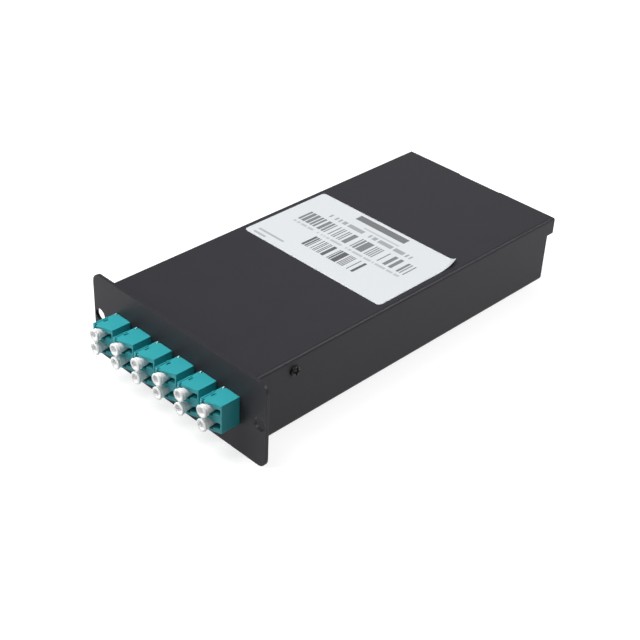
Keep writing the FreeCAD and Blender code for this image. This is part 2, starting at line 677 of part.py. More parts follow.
def dust_plug(number, row, side):
    """Turned plug: dished double ring, tapered shank and pin."""
    made = body("dust_plug_%d_%s" % (number, row))
    front = "0 - plug_front"
    ring = front + " + plug_ring_t"
    waist = ring + " + plug_waist_t"
    seat = "0 - ad_front - plug_seat"
    points = [("0", front + " + plug_dish"),
              ("plug_dish_dia / 2 - plug_round", front + " + plug_dish"),
              ("plug_dish_dia / 2", front),
              ("plug_dia / 2 - plug_round", front),
              ("plug_dia / 2", front + " + plug_round"),
              ("plug_dia / 2", ring),
              ("plug_waist / 2", ring + " + 0.2"),
              ("plug_waist / 2", waist),
              ("plug_back_dia / 2", waist + " + 0.15"),
              ("plug_back_dia / 2", seat),
              ("plug_shank / 2", seat),
              ("plug_shank_end / 2", "plug_shank_y"),
              ("plug_pin / 2", "plug_shank_y"),
              ("plug_pin / 2", "plug_pin_y"),
              ("0", "plug_pin_y")]
    revolve_y(made, points)
    made.setExpression("Placement.Base.x", ref("(%s) * pitch + axis_x" % (number - 3.5)))
    made.setExpression("Placement.Base.z", ref("%s axis_z" % side))
    return made


def lc_connector(number, row, side):
    made = body("lc_connector_%d_%s" % (number, row))
    half = "lc_w / 2"
    pad_along(made, "y", "lc_front", "lc_rear",
              lambda s: rectangle(s, "0 - " + half, half, "0 - " + half, half))
    cut_along(made, "y", "lc_front", "lc_bore_end", lambda s: circle(s, "0", "0", "lc_bore"))
    pad_along(made, "y", "ferrule_tip", "lc_bore_end + 0.2", lambda s: circle(s, "0", "0", "ferrule_dia"))
    high = half + " + latch_h"
    pad_along(made, "z", "0 - latch_w / 2", "latch_w / 2",
              lambda s: polygon(s, [(half + " - 0.3", "lc_front + 3"), (half, "lc_front + 3"),
                                    (high, "lc_rear - 5"), (high + " - latch_t", "lc_rear - 5"),
                                    (half + " - 0.3", "lc_front + 6")]))
    boot(made, "lc_rear", "boot_end", "boot_dia", "boot_end_dia")
    made.setExpression("Placement.Base.x", ref("(%s) * pitch + axis_x" % (number - 3.5)))
    made.setExpression("Placement.Base.z", ref("%s axis_z" % side))
    return made


def boot(owner, start, end, wide, narrow):
    """Tapered boot from the housing to the lead, in either direction."""
    revolve_y(owner, [("0", start), (wide + " / 2", start), (narrow + " / 2", end), ("0", end)])


# ------------------------------------------------------------ fibre fan-out
def fibre(number, row, side):
    """Buffered fibre: straight, two equal opposite bends, straight."""
    start = "(%s) * pitch + axis_x" % (number - 3.5)
    end = "(%s) * lane" % (number - 3.5)
    middle = "((%s) + (%s)) / 2" % (start, end)
    path = doc.addObject("Sketcher::SketchObject", "fibre_path")
    path.setExpression("Placement.Base.z", ref("%s axis_z" % side))
    stations = [(start, "boot_end"), (start, "bend_start"), (middle, "(bend_start + bend_end) / 2"),
                (end, "bend_end"), (end, "block_front")]
    spots = [FreeCAD.Vector(value(a), value(b), 0) for a, b in stations]
    path.addGeometry(Part.LineSegment(spots[0], spots[1]))
    path.addGeometry(bend(spots[1], spots[2]))
    path.addGeometry(bend(spots[3], spots[2]))
    path.addGeometry(Part.LineSegment(spots[3], spots[4]))
    pin_point(path, 0, 1, *stations[0])
    pin_point(path, 0, 2, *stations[1])
    pin_point(path, 3, 1, *stations[3])
    pin_point(path, 3, 2, *stations[4])
    join_path(path, spots)
    ring = doc.addObject("Sketcher::SketchObject", "fibre_ring")
    ring.Placement = FreeCAD.Placement(FreeCAD.Vector(0, 0, 0), FreeCAD.Rotation(FreeCAD.Vector(1, 0, 0), 90))
    ring.setExpression("Placement.Base.x", ref(start))
    ring.setExpression("Placement.Base.y", ref("boot_end"))
    ring.setExpression("Placement.Base.z", ref("%s axis_z" % side))
    circle(ring, "0", "0", "fibre_dia")
    doc.recompute()
    made = doc.addObject("Part::Sweep", "fibre_%d_%s" % (number, row))
    made.Sections = [ring]
    made.Spine = (path, ["Edge1", "Edge2", "Edge3", "Edge4"])
    made.Solid = True
    return made


def bend(straight, middle):
    """Arc that leaves a straight run along Y and ends at the middle point."""
    shift = middle.x - straight.x
    reach = middle.y - straight.y
    radius = (shift * shift + reach * reach) / (2 * shift)
    centre = FreeCAD.Vector(straight.x + radius, straight.y, 0)
    ring = Part.Circle(centre, FreeCAD.Vector(0, 0, 1), abs(radius))
    first, second = sorted(ring.parameter(p) for p in (straight, middle))
    if second - first > 3.2:
        first, second = second - 6.283185307179586, first
    return Part.ArcOfCircle(ring, first, second)


def join_path(path, spots):
    """Bends joined to the straights and to each other, tangent throughout."""
    near = {}
    for geo in (1, 2):
        ends = {1: path.getPoint(geo, 1), 2: path.getPoint(geo, 2)}
        near[geo] = min(ends, key=lambda k: (ends[k] - spots[2]).Length)
    path.addConstraint(Sketcher.Constraint("Tangent", 0, 2, 1, 3 - near[1]))
    path.addConstraint(Sketcher.Constraint("Tangent", 3, 1, 2, 3 - near[2]))
    path.addConstraint(Sketcher.Constraint("Tangent", 1, near[1], 2, near[2]))


def fibres():
    runs = []
    for number in range(1, 7):
        for row, side in (("upper", "0 +"), ("lower", "0 -")):
            runs.append(fibre(number, row, side))
    return group("fibres", runs)


def fanout_block():
    made = body("fanout_block")
    pad_along(made, "y", "block_front", "block_rear",
              lambda s: rectangle(s, "0 - block_w / 2", "block_w / 2", "0 - block_h / 2", "block_h / 2"))
    fillet(made, lambda e: along(e, "y"), "1")
    return made


def fanout_bracket():
    made = body("fanout_bracket")
    side, low = "block_w / 2", "0 - block_h / 2"
    front, rear = "block_front + 2", "block_rear - 2"
    pad_along(made, "z", "floor_in", "floor_in + foot_h",
              lambda s: rectangle(s, "0 - foot_w / 2", "foot_w / 2", front, rear))
    outer = side + " + cheek_t"
    pad_along(made, "y", front, rear,
              lambda s: polygon(s, [("0 - (%s)" % outer, "floor_in"), (outer, "floor_in"),
                                    (outer, low + " + cheek_h"), (side, low + " + cheek_h"), (side, low),
                                    ("0 - " + side, low), ("0 - " + side, low + " + cheek_h"),
                                    ("0 - (%s)" % outer, low + " + cheek_h")]))
    return made


def mpo_lead():
    made = body("mpo_lead")
    pad_along(made, "y", "block_rear", "tail_front", lambda s: circle(s, "0", "0", "lead_dia"))
    return made


# ------------------------------------------------------------- trunk adapter
def centred(sketch, wide, high):
    rectangle(sketch, "0 - (%s) / 2" % wide, "(%s) / 2" % wide, "0 - (%s) / 2" % high, "(%s) / 2" % high)


def mpo_adapter():
    made = body("mpo_adapter")
    pad_along(made, "y", "mpo_in", "mpo_out", lambda s: centred(s, "mpo_w", "mpo_h"))
    pad_along(made, "y", "tray_len", "tray_len + mpo_flange_t", lambda s: centred(s, "mpo_flange_w", "mpo_h"))
    cut_along(made, "y", "mpo_in", "mpo_web_in", lambda s: centred(s, "mpo_port_w", "mpo_port_h"))
    cut_along(made, "y", "mpo_web_out", "mpo_out", lambda s: centred(s, "mpo_port_w", "mpo_port_h"))
    cut_along(made, "y", "mpo_web_in", "mpo_web_out",
              lambda s: centred(s, "ferrule_w + 2 * window_gap", "ferrule_h + 2 * window_gap"))
    hole = cut_along(made, "y", "tray_len", "tray_len + mpo_flange_t",
                     lambda s: circle(s, "small_screw_x", "0", "small_hole"))
    mirror_x(made, [hole])
    return made


def mpo_connector():
    made = body("mpo_connector")
    pad_along(made, "y", "grip_front", "grip_rear", lambda s: centred(s, "grip_w", "grip_h"))
    fillet(made, lambda e: along(e, "y"), "1")
    pad_along(made, "y", "grip_rear", "nose_end",
              lambda s: centred(s, "mpo_port_w - 2 * nose_gap", "mpo_port_h - 2 * nose_gap"))
    pad_along(made, "y", "nose_end", "ferrule_end", lambda s: centred(s, "ferrule_w", "ferrule_h"))
    boot(made, "grip_front", "tail_front", "tail_dia", "tail_end_dia")
    return made


def mpo_dust_cap():
    made = body("mpo_dust_cap")
    seat = "mpo_out + cap_seat"
    pad_along(made, "y", seat, seat + " + cap_head", lambda s: centred(s, "mpo_w", "mpo_h"))
    fillet(made, lambda e: along(e, "y"), "1")
    pad_along(made, "y", "cap_nose", seat,
              lambda s: centred(s, "mpo_port_w - 2 * nose_gap", "mpo_port_h - 2 * nose_gap"))
    cut_along(made, "y", "cap_nose", seat + " - 1",
              lambda s: centred(s, "mpo_port_w - 2 * nose_gap - 2", "mpo_port_h - 2 * nose_gap - 2"))
    return made


def mpo_screws():
    made = body("mpo_screw_right")
    face = "tray_len + mpo_flange_t"
    points = [("0", face + " - small_screw_len"), ("small_screw / 2", face + " - small_screw_len"),
              ("small_screw / 2", face), ("small_head / 2", face),
              ("small_head / 2", face + " + 0.5 * small_head_h"),
              ("small_head / 3", face + " + small_head_h"), ("0", face + " + small_head_h")]
    revolve_y(made, points, "small_screw_x")
    return mirrored_pair("mpo_screws", made)


def mpo_nuts():
    made = body("mpo_nut_right")
    inner = "tray_len - sheet_t"
    far, near = "small_nut * 0.57735", "small_nut * 0.288675"
    flat = "small_nut / 2"
    corners = [(far, "0"), (near, flat), ("0 - " + near, flat), ("0 - " + far, "0"),
               ("0 - " + near, "0 - " + flat), (near, "0 - " + flat)]
    pad_along(made, "y", inner + " - small_nut_h", inner,
              lambda s: polygon(s, [("small_screw_x + (%s)" % a, b) for a, b in corners]))
    cut_along(made, "y", inner + " - small_nut_h", inner,
              lambda s: circle(s, "small_screw_x", "0", "small_screw + thread_gap"))
    return mirrored_pair("mpo_nuts", made)


# ------------------------------------------------------------------ assembly
ROWS = (("upper", "0 +"), ("lower", "0 -"))

parts = [front_plate(), tray(), cover(), label(), cover_screws(), clinch_nuts()]
for index in range(1, 7):
    parts += [lc_adapter(index), adapter_clip(index), split_sleeves(index)]
    for row_name, row_side in ROWS:
        parts += [dust_plug(index, row_name, row_side), lc_connector(index, row_name, row_side)]
parts += [fibres(), fanout_block(), fanout_bracket(), mpo_lead(), mpo_adapter(), mpo_connector(),
          mpo_dust_cap(), mpo_screws(), mpo_nuts()]
doc.recompute()

for item in doc.Objects:
    if "Invalid" in item.State or "Error" in item.State:
        raise RuntimeError("%s is in state %s" % (item.Label, item.State))

os.makedirs("parts", exist_ok=True)
for item in parts:
    if item.Shape.isNull() or not item.Shape.isValid() or not item.Shape.Solids:
        raise RuntimeError("%s has no valid shape" % item.Label)
    item.Shape.exportStep("parts/%s.step" % item.Label)
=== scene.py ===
"""Fibre cassette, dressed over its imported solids.  Metres; +X along the plate,
+Y from the plate into the box, +Z up through the cover."""

import json
import math

import bmesh
import bpy
import numpy as np
from mathutils import Matrix, Vector


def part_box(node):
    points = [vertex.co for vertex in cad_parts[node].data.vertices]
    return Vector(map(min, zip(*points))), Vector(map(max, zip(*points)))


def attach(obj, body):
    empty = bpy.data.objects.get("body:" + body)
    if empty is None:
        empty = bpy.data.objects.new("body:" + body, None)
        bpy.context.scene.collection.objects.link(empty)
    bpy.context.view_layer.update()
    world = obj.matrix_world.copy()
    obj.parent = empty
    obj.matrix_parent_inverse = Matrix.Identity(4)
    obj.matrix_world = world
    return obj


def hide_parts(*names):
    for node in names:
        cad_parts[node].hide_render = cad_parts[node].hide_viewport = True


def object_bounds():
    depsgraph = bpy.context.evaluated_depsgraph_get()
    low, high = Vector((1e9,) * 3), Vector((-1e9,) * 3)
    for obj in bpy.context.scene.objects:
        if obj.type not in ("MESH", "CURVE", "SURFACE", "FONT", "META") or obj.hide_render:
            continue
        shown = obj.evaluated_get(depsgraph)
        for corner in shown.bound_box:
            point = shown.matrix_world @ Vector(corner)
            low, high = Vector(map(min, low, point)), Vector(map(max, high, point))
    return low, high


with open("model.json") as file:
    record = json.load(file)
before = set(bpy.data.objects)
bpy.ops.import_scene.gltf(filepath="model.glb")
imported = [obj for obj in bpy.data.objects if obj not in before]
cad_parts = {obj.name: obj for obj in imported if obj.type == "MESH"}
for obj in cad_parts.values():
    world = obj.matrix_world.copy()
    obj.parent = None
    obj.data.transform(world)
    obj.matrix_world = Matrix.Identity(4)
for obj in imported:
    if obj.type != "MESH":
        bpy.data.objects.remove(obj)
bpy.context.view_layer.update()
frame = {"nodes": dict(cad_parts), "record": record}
nodes = frame["nodes"]
record = frame["record"]
body_of = {node: body for body, held in record["behaviour"]["bodies"].items() for node in held}
slot_of = {part["node"]: part["material_slot"] for part in record["subparts"]}
MM = 0.001
SHEET = 1.0 * MM  # thickness of the folded sheet
UV_SPAN = 100.0  # millimetres of the flat label in one unit of its UV map
EDGE_ANGLE = 30  # degrees; an edge that turns by less isn't rounded
WHITE = (1, 1, 1, 1)
scene = bpy.context.scene
scene.view_settings.view_transform = "Standard"


# ------------------------------------------------------------------- finishes
class Wire:
    """A node's output that can be used in ordinary arithmetic."""

    def __init__(self, finish, socket):
        self.finish = finish
        self.socket = socket

    def __add__(self, other):
        return self.finish.maths("ADD", self, other)

    __radd__ = __add__

    def __mul__(self, other):
        return self.finish.maths("MULTIPLY", self, other)

    __rmul__ = __mul__

    def __sub__(self, other):
        return self.finish.maths("SUBTRACT", self, other)

    def __rsub__(self, other):
        return self.finish.maths("SUBTRACT", other, self)

    def __truediv__(self, other):
        return self.finish.maths("DIVIDE", self, other)

    def __rtruediv__(self, other):
        return self.finish.maths("DIVIDE", other, self)

    def __gt__(self, other):
        return self.finish.maths("GREATER_THAN", self, other)

    def __lt__(self, other):
        return self.finish.maths("LESS_THAN", self, other)

    def __abs__(self):
        return self.finish.maths("ABSOLUTE", self)


class Finish:
    """A material: one shader, and the nodes that feed it."""

    def __init__(self, name, **constants):
        self.material = bpy.data.materials.new(name)
        self.material.use_nodes = True
        self.tree = self.material.node_tree
        self.tree.nodes.clear()
        self.shader = self.tree.nodes.new("ShaderNodeBsdfPrincipled")
        output = self.tree.nodes.new("ShaderNodeOutputMaterial")
        self.tree.links.new(self.shader.outputs[0], output.inputs["Surface"])
        for key, value in constants.items():
            self.shader.inputs[key.replace("_", " ")].default_value = value

    def node(self, kind, settings=None, inputs=None, out=0):
        """Adds a node: its settings first, then the values or wires of its sockets."""
        made = self.tree.nodes.new("ShaderNode" + kind)
        for key, value in (settings or {}).items():
            setattr(made, key, value)
        ready = [socket for socket in made.inputs if socket.enabled]
        for key, value in (inputs or {}).items():
            if isinstance(key, str):
                key = [socket.name for socket in ready].index(key)
            self.feed(ready[key], value)
        outputs = [socket for socket in made.outputs if socket.enabled]
        return Wire(self, outputs[out] if isinstance(out, int) else made.outputs[out])

    def feed(self, socket, value):
        if isinstance(value, Wire):
            self.tree.links.new(value.socket, socket)
        else:
            socket.default_value = value

    def set(self, **wires):
        for key, value in wires.items():
            self.feed(self.shader.inputs[key.replace("_", " ")], value)

    def maths(self, operation, *values):
        return self.node("Math", {"operation": operation}, dict(enumerate(values)))

    def place(self):
        return self.node("TexCoord", out="Object")

    def noise(self, size, detail=2.0):
        """Noise with features of the given size in metres, about 0.5 in the middle."""
        return self.node("TexNoise", inputs={"Vector": self.place(), "Scale": 1.0 / size,
                                             "Detail": detail, "Roughness": 0.5})

    def mix(self, factor, low, high):
        """Colour between two colours."""
        return self.node("Mix", {"data_type": "RGBA"}, {"Factor": factor, "A": low, "B": high})

    def bump(self, height, depth, strength):
        """Height from 0 to 1 over a depth in metres."""
        return self.node("Bump", inputs={"Strength": strength, "Distance": depth, "Height": height})


def rgb(red, green, blue):
    return (red, green, blue, 1.0)


def powder_coat():
    """Black powder coat: a fine orange-peel skin, slightly uneven in gloss, broken by the fine
    seams where the folded flaps of the tray and of the cover meet at the rear corners."""
    made = Finish("powder_coat", IOR=1.5, Specular_IOR_Level=0.14)
    grain = made.noise(0.35 * MM, detail=3.0)
    broad = made.noise(14 * MM)
    spot = made.place()
    out = abs(made.node("SeparateXYZ", inputs={0: spot}))
    back = made.node("SeparateXYZ", inputs={0: spot}, out=1)
    cover_high, tray_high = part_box("cover")[1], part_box("tray")[1]
    seam_depth, half_seam, slack = 0.2 * MM, 0.07 * MM, 0.02 * MM

    def seam_at(high):
        return (out > high.x - seam_depth) * (abs(back - (high.y - SHEET)) < half_seam)

    seam = seam_at(cover_high) + seam_at(tray_high) * (out < tray_high.x + slack)
    coat = made.mix(broad, rgb(0.0217, 0.0211, 0.0256), rgb(0.026, 0.0253, 0.0302))
    made.set(Base_Color=made.mix(seam, coat, rgb(0.004, 0.004, 0.004)),
             Roughness=0.34 + 0.12 * grain + 0.05 * broad,
             Normal=made.bump(grain - seam, 0.03 * MM, 0.6))
    return made.material


def moulded(name, light, dark, roughness=0.34, **constants):
    """Moulded plastic: even colour with faint flow marks and a fine spark-eroded skin."""
    made = Finish(name, **constants)
    flow = made.noise(5 * MM)
    skin = made.noise(0.18 * MM)
    made.set(Base_Color=made.mix(flow, dark, light),
             Roughness=roughness + 0.1 * skin + 0.06 * flow,
             Normal=made.bump(skin, 0.01 * MM, 0.5))
    return made.material


def screw_black():
    """Blackened steel: a dull sheen on the head, and painted shade, nearly black, down in the cross
    recess.
    """
    made = Finish("black_screw", Specular_IOR_Level=0.3)
    skin = made.noise(0.2 * MM)
    recess = made.node("Attribute", {"attribute_name": "recess"}, out="Fac")
    head = made.mix(skin, rgb(0.012, 0.012, 0.013), rgb(0.016, 0.016, 0.017))
    # Painted shade: the recess attribute turns the colour nearly black where the cross recess is.
    made.set(Base_Color=made.mix(recess, head, rgb(0.0005, 0.0005, 0.0005)),
             Roughness=0.34 + 0.1 * skin + 0.5 * recess,
             Normal=made.bump(skin, 0.01 * MM, 0.5))
    return made.material


def rolled(name, colour, roughness=0.28):
    """Rolled or plated metal with fine lines along its length."""
    made = Finish(name, Metallic=1.0)
    per_metre = (9000, 600, 9000)
    stretched = made.node("Mapping", inputs={"Vector": made.place(), "Scale": per_metre})
    lines = made.node("TexNoise", inputs={"Vector": stretched, "Scale": 1.0, "Detail": 2.0})
    darker = tuple(0.85 * c for c in colour[:3]) + (1.0,)
    made.set(Base_Color=made.mix(lines, darker, colour),
             Roughness=roughness + 0.16 * lines,
             Normal=made.bump(lines, 0.004 * MM, 0.4))
    return made.material


# Print on the label while it lies flat on the cover, in millimetres from the part's origin: left,
# right, front and rear of a strip, its darkness, and for a broken strip the width of a lane and the
# share of lanes left blank.
PRINT = [
    (-32, 31, 93, 101.5, 0.75, (0.62, 0.5)),
    (-15.5, 15.5, 79, 88, 0.9, (0.46, 0.5)),
    (-14, 14, 111.5, 115.5, 0.8, None),
    (-6, 14, 108, 109, 0.3, None),
    (-25, 24, 104, 106.6, 0.5, (1.1, 0.25)),
    (-31, 30, 90, 91.4, 0.32, (0.8, 0.2)),
    (-35.5, -20.5, 73.9, 75.1, 0.42, None),
    (-35.5, -28.5, 70.9, 72.1, 0.42, None),
]


def paper():
    """Label stock with plain printed strips, some broken into bars at random: they stand for no
    words and no code."""
    made = Finish("paper")
    flat = made.node("UVMap", {"uv_map": "flat"})
    along = made.node("SeparateXYZ", inputs={0: flat}, out=1) * UV_SPAN
    across = made.node("SeparateXYZ", inputs={0: flat}) * UV_SPAN

    def bars(width, blank):
        lane = made.maths("FLOOR", across / width)
        return made.node("TexWhiteNoise", {"noise_dimensions": "1D"}, {"W": lane}) > blank

    def strip(left, right, front, rear, darkness, lanes):
        field = (across > left) * (across < right) * (along > front) * (along < rear)
        return (field * bars(*lanes) if lanes else field) * darkness

    ink = sum(strip(*row) for row in PRINT)
    fibre = made.noise(0.4 * MM, detail=3.0)
    stock = made.mix(fibre, rgb(0.52, 0.545, 0.565), rgb(0.56, 0.58, 0.6))
    made.set(Base_Color=made.mix(ink, stock, rgb(0.03, 0.03, 0.032)),
             Roughness=0.46 + 0.12 * fibre,
             Normal=made.bump(fibre, 0.004 * MM, 0.5))
    return made.material


finishes = {
    "powder_coat": powder_coat(),
    "black_screw": screw_black(),
    "steel": rolled("steel", rgb(0.62, 0.62, 0.6)),
    "spring_steel": rolled("spring_steel", rgb(0.3, 0.34, 0.34), 0.36),
    "paper": paper(),
    "aqua_plastic": moulded("aqua_plastic", rgb(0.034, 0.4, 0.44), rgb(0.024, 0.36, 0.4)),
    "ceramic": moulded("ceramic", rgb(0.86, 0.85, 0.8), rgb(0.82, 0.81, 0.77), 0.12),
    "plug_plastic": moulded("plug_plastic", rgb(0.95, 0.96, 0.955), rgb(0.9, 0.915, 0.91), 0.3,
                            Subsurface_Weight=0.25, Subsurface_Radius=(0.9, 0.9, 0.9),
                            Subsurface_Scale=1.5 * MM),
    "connector_plastic": moulded("connector_plastic", rgb(0.64, 0.58, 0.45), rgb(0.58, 0.52, 0.4)),
    "connector_aqua": moulded("connector_aqua", rgb(0.05, 0.44, 0.48), rgb(0.04, 0.4, 0.44)),
    "fibre_jacket": moulded("fibre_jacket", rgb(0.07, 0.5, 0.54), rgb(0.06, 0.45, 0.5), 0.4),
    "grey_plastic": moulded("grey_plastic", rgb(0.2, 0.2, 0.21), rgb(0.16, 0.16, 0.17), 0.4),
    "black_plastic": moulded("black_plastic", rgb(0.028, 0.028, 0.028), rgb(0.02, 0.02, 0.02),
                             0.35),
}


# --------------------------------------------------------------------- pieces
def piece(name, mesh, slot, body, *stands_for):
    """Puts a finished mesh into the scene on its body, in its slot's material."""
    made = bpy.data.objects.new(name, mesh)
    scene.collection.objects.link(made)
    mesh.materials.clear()
    mesh.materials.append(finishes[slot])
    if stands_for:
        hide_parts(*stands_for)
    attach(made, body)
    return made


def tidy(mesh, sharp=35):
    """Merges doubles, turns the faces outwards and keeps edges above an angle sharp."""
    work = bmesh.new()
    work.from_mesh(mesh)
    bmesh.ops.remove_doubles(work, verts=work.verts, dist=1e-7)
    bmesh.ops.recalc_face_normals(work, faces=work.faces)
    work.to_mesh(mesh)
    work.free()
    mesh.shade_smooth()
    mesh.set_sharp_from_angle(angle=math.radians(sharp))
    return mesh


def grid_mesh(name, points, wrap=False):
    """Mesh over a grid of points (rows, columns, 3); wrap joins the last column to the first."""
    rows, columns = points.shape[:2]
    index = np.arange(rows * columns).reshape(rows, columns)
    if wrap:
        index = np.hstack([index, index[:, :1]])
    quads = np.stack([index[:-1, :-1], index[:-1, 1:], index[1:, 1:], index[1:, :-1]], axis=-1)
    mesh = bpy.data.meshes.new(name)
    mesh.from_pydata(points.reshape(-1, 3).tolist(), [], quads.reshape(-1, 4).tolist())
    return mesh


def softened(node, width, segments=2):
    """Copy of a node with its sharp edges rounded to the width, in millimetres, and the normals of
    its large faces kept flat."""
    mesh = nodes[node].data.copy()
    mesh.name = node + "_soft"
    work = bmesh.new()
    work.from_mesh(mesh)
    bmesh.ops.remove_doubles(work, verts=work.verts, dist=1e-6)
    bmesh.ops.dissolve_limit(work, angle_limit=math.radians(1.0),
                             verts=work.verts, edges=work.edges)
    work.to_mesh(mesh)
    work.free()
    mesh.shade_smooth()
    made = piece(node + "_soft", mesh, slot_of[node], body_of[node], node)
    bevel = made.modifiers.new("Bevel", "BEVEL")
    bevel.width = width * MM
    bevel.segments = segments
    bevel.limit_method = "ANGLE"
    bevel.angle_limit = math.radians(EDGE_ANGLE)
    weigh = made.modifiers.new("Weighted", "WEIGHTED_NORMAL")
    weigh.mode = "FACE_AREA"
    weigh.weight = 100
    weigh.keep_sharp = True


def rounded_corners(points, radii, steps=6):
    """Outline through points with each corner replaced by an arc: a circle of the given radius
    touching both sides, sampled at equal angles."""
    out = []
    points = [np.array(p, float) for p in points]
    for i, (corner, radius) in enumerate(zip(points, radii)):
        if radius == 0:
            out.append(corner[None])
            continue
        before = points[i - 1] - corner
        after = points[(i + 1) % len(points)] - corner
        a, b = before / np.linalg.norm(before), after / np.linalg.norm(after)
        half = math.acos(float(np.clip(a @ b, -1, 1))) / 2
        start = corner + a * radius / math.tan(half)
        end = corner + b * radius / math.tan(half)
        centre = corner + (a + b) / np.linalg.norm(a + b) * radius / math.sin(half)
        span = math.pi - 2 * half
        swing = span * np.linspace(0, 1, steps + 1)[:, None]
        arc = np.sin(span - swing) * (start - centre) + np.sin(swing) * (end - centre)
        out.append(centre + arc / math.sin(span))
    return np.vstack(out)


def turned(name, profile, centre, around=64):
    """Surface of revolution about a line along Y: each (radius, station) of the profile is carried
    round a full circle."""
    angles = np.linspace(0, 2 * math.pi, around, endpoint=False)
    radius, station = profile[:, :1], profile[:, 1:]
    points = np.stack([centre[0] + radius * np.cos(angles), station + 0 * angles,
                       centre[1] + radius * np.sin(angles)], axis=-1)
    return tidy(grid_mesh(name, points * MM, wrap=True))


def middle(node):
    """Middle of a node's box, in millimetres."""
    low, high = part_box(node)
    return (low + high) / 2 / MM


# ------------------------------------------ folded sheet and moulded bodies
for node, width in (("front_plate", 0.32), ("cover", 0.2), ("tray", 0.18)):
    softened(node, width, 3)
for node in ("fanout_bracket", "mpo_adapter", "mpo_connector", "mpo_dust_cap"):
    softened(node, 0.2)
for number in range(1, 7):
    softened("lc_adapter_%d" % number, 0.14)


# ----------------------------------------------------------------- dust plugs
def plug_profile(front, tip):
    """Dished front ring with a round rim, waist, second ring, tapered shank and pin.  Each corner
    is a radius and a station, followed by its rounding."""
    rim, waist, collar, shank, pin = 2.7, 2.1, 2.45, 2.05, 0.6
    dish, seat, pin_length = 1.3, 2.1, 4.4
    corners = [((0, front + dish), 0), ((1.4, front + dish), 0.35), ((1.7, front), 0.3),
               ((rim, front), 0.34), ((rim, front + 0.7), 0.3),
               ((waist, front + 0.9), 0.08), ((waist, front + 1.15), 0.08),
               ((collar, front + 1.3), 0.15), ((collar, front + seat), 0.15),
               ((shank, front + seat), 0.1), ((1.8, tip - pin_length), 0.2),
               ((pin, tip - pin_length), 0.1), ((pin, tip), 0.15), ((0, tip), 0)]
    return rounded_corners(*zip(*corners))


def dust_plug(node):
    """The plug's profile turned about the middle of its node, from the front of the node's box to
    its rear."""
    low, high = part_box(node)
    centre = middle(node)
    mesh = turned(node, plug_profile(low.y / MM, high.y / MM), (centre.x, centre.z))
    piece(node + "_turned", mesh, "plug_plastic", body_of[node], node)


for number in range(1, 7):
    for row in ("upper", "lower"):
        dust_plug("dust_plug_%d_%s" % (number, row))


# -------------------------------------------------------------- cover screws
def cross_screw(side):
    """Pan head with a cross recess, on a shank: x = face + dome(r) - cut(u, v), where dome is
    h (1 - (r / R)^4)^(1/2) and cut is 1 - r / 2a inside two crossed bars that reach out to a.  The
    edges and ends of the bars are softened, and the last three rings are the shank's."""
    head, shank, shank_length = 1.5, 1.25, 5.6
    arm, half_bar, soft, twist = 1.75, 0.5, 0.06, 0.2
    low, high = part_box("cover_screws")
    centre = middle("cover_screws")
    radius, face = (high.y - low.y) / 2 / MM, high.x / MM - head
    r = np.concatenate([np.linspace(0, radius, 56), [shank, shank, 0]])[:, None]
    angle = np.linspace(0, 2 * math.pi, 144, endpoint=False) + twist
    u, v = r * np.cos(angle), r * np.sin(angle)
    dome = head * np.sqrt(np.clip(1 - (r / radius) ** 4, 0, 1))
    arms = 1 / (1 + np.exp((np.minimum(abs(u), abs(v)) - half_bar) / soft * 2))
    reach = 1 / (1 + np.exp((r - arm) / soft))
    height = dome - (1 - 0.5 * np.clip(r / arm, 0, 1)) * arms * reach
    height[-3:] = np.array([0, -shank_length, -shank_length])[:, None]
    points = np.stack([side * (face + height), centre.y + r * np.cos(angle - twist),
                       centre.z + r * np.sin(angle - twist)], axis=-1) * MM
    name = "cover_screw_" + ("right" if side > 0 else "left")
    mesh = grid_mesh(name, points, wrap=True)
    # Share of the cross recess at each point, kept as the recess attribute; the finish uses it to
    # paint shade, nearly black, into the recess.
    recess = arms * reach
    recess[-3:] = 0
    layer = mesh.attributes.new("recess", "FLOAT", "POINT")
    layer.data.foreach_set("value", recess.ravel().astype(np.float32))
    piece(name, tidy(mesh, sharp=60), "black_screw", body_of["cover_screws"], "cover_screws")


for side in (1, -1):
    cross_screw(side)


# ---------------------------------------------------------------------- label
def label():
    """Rounded rectangle of paper with its rear right corner rolled up.  A column that lies e from a
    side, less than the corner radius c, is shortened at both ends by c - (c^2 - (c - e)^2)^(1/2).
    The part past a slanting crease, from foot to edge, goes up a cylinder: a point d past the
    crease ends up R sin(d / R) past it and R (1 - cos(d / R)) higher."""
    low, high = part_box("label")
    left, right, front, rear, base = (v / MM for v in (low.x, high.x, low.y, high.y, low.z))
    corner, columns, rows = 1.6, 157, 97
    x = np.linspace(left, right, columns)
    near_end = np.clip(np.minimum(x - left, right - x), 0, corner)
    inset = corner - np.sqrt(corner ** 2 - (corner - near_end) ** 2)
    share = np.linspace(0, 1, rows)[:, None]
    y = front + inset + share * (rear - front - 2 * inset)
    flat = np.stack([x + 0 * y, y], axis=-1)
    foot, edge, radius = np.array([34.1, rear]), np.array([right, 105.1]), 4.2
    along = (edge - foot) / np.linalg.norm(edge - foot)
    across = np.array([-along[1], along[0]])
    past = np.maximum((flat - foot) @ across, 0)
    shift = (radius * np.sin(past / radius) - past)[..., None] * across
    lift = base + radius * (1 - np.cos(past / radius))
    points = np.dstack([flat + shift, lift[..., None]]) * MM
    mesh = grid_mesh("label_sheet", points)
    sheet = mesh.uv_layers.new(name="flat")
    corners = np.empty(len(mesh.loops), np.int32)
    mesh.loops.foreach_get("vertex_index", corners)
    spread = flat.reshape(-1, 2)[corners] / UV_SPAN
    sheet.uv.foreach_set("vector", spread.ravel().astype(np.float32))
    mesh.shade_smooth()
    made = piece("label_sheet", mesh, "paper", body_of["label"], "label")
    thick = made.modifiers.new("Solidify", "SOLIDIFY")
    thick.thickness = 0.15 * MM
    thick.offset = 1.0


label()


# --------------------------------------------------------------- other solids
for node, made in nodes.items():
    for slot in made.material_slots:
        slot.material = finishes[slot_of[node]]


# ---------------------------------------------------------------------- stage
floor_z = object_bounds()[0].z


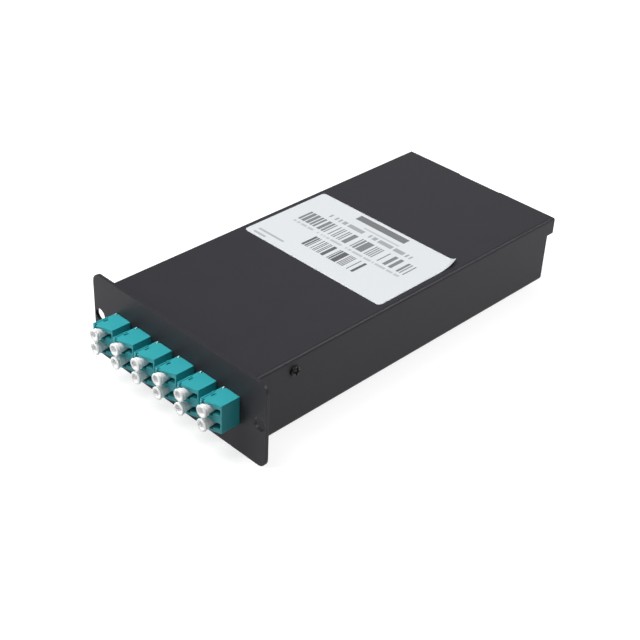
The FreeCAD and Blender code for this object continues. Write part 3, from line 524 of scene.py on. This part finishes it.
def floor():
    """Plain square floor with a white glow of its own that keeps it pale; it throws no diffuse
    light back at the part."""
    mesh = bpy.data.meshes.new("floor")
    half = 3.0
    corners = [(-half, -half, floor_z), (half, -half, floor_z),
               (half, half, floor_z), (-half, half, floor_z)]
    mesh.from_pydata(corners, [], [(0, 1, 2, 3)])
    made = bpy.data.objects.new("floor", mesh)
    scene.collection.objects.link(made)
    look = Finish("floor", Roughness=0.9, Emission_Color=WHITE, Emission_Strength=0.7)
    broad = look.noise(0.5, detail=1.0)
    look.set(Base_Color=look.mix(broad, rgb(0.44, 0.44, 0.44), rgb(0.46, 0.46, 0.46)))
    mesh.materials.append(look.material)
    made.visible_diffuse = False


def backdrop():
    """White bowl of revolution round the floor: its wall rises on a quarter ellipse,
    r = 2.6 + 1.4 sin t and z = 3 (1 - cos t) above the floor.  It only stands behind the view, and
    neither lights the part nor shades it."""
    t = np.linspace(0, math.pi / 2, 24)[:, None]
    turn = np.linspace(0, 2 * math.pi, 96, endpoint=False)
    reach = 2.6 + 1.4 * np.sin(t)
    rise = floor_z + 3 * (1 - np.cos(t)) + 0 * turn
    points = np.stack([reach * np.cos(turn), reach * np.sin(turn), rise], axis=-1)
    mesh = grid_mesh("backdrop", points, wrap=True)
    made = bpy.data.objects.new("backdrop", mesh)
    scene.collection.objects.link(made)
    look = Finish("backdrop", Roughness=0.9, Base_Color=rgb(0.8, 0.8, 0.8),
                  Emission_Color=WHITE, Emission_Strength=1.0)
    mesh.materials.append(look.material)
    made.visible_diffuse = made.visible_glossy = False
    made.visible_shadow = made.visible_transmission = False


def softbox(name, place, aim, size, power):
    """Square area light at a place, turned to its aim."""
    light = bpy.data.lights.new(name, "AREA")
    light.size = size
    light.energy = power
    made = bpy.data.objects.new(name, light)
    scene.collection.objects.link(made)
    made.location = place
    made.rotation_euler = (Vector(aim) - Vector(place)).to_track_quat("-Z", "Y").to_euler()


def surroundings(strength):
    """Even white light from all round."""
    world = bpy.data.worlds.new("studio")
    world.use_nodes = True
    sky = world.node_tree.nodes["Background"]
    sky.inputs["Color"].default_value = WHITE
    sky.inputs["Strength"].default_value = strength
    scene.world = world


def camera():
    """Camera in front of the plate, to its right and above it, turned by azimuth, elevation and
    roll in radians."""
    place = (0.3143, -0.25442, 0.29639)
    azimuth, elevation, roll = 0.76074, 0.59597, 0.04927
    ahead = Vector((-math.sin(azimuth) * math.cos(elevation),
                    math.cos(azimuth) * math.cos(elevation), -math.sin(elevation)))
    level = Vector((math.cos(azimuth), math.sin(azimuth), 0))
    upright = level.cross(ahead)
    right = math.cos(roll) * level + math.sin(roll) * upright
    up = math.cos(roll) * upright - math.sin(roll) * level
    turn = Matrix((right, up, -ahead)).transposed().to_4x4()
    lens = bpy.data.cameras.new("camera")
    lens.sensor_width = 36
    lens.lens = 73.096
    lens.shift_x = 0.00433
    lens.shift_y = -0.00102
    lens.clip_end = 20
    made = bpy.data.objects.new("camera", lens)
    scene.collection.objects.link(made)
    made.matrix_world = Matrix.Translation(place) @ turn
    scene.camera = made


# name, place and aim in metres, width in metres, watts
LIGHTS = [
    ("key", (-0.5, -0.4, 1.3), (0, 0.08, 0), 0.9, 20),
    ("front", (-0.34, -0.42, 0.22), (-0.03, 0, 0), 0.3, 1.25),
    ("back", (-0.8, 1.2, 0.8), (0, 0.15, 0), 0.7, 0.9),
    ("rim", (0.85, 1.0, 0.9), (0, 0.08, 0), 0.2, 15),
]

floor()
backdrop()
surroundings(strength=0.27)
for light in LIGHTS:
    softbox(*light)
camera()
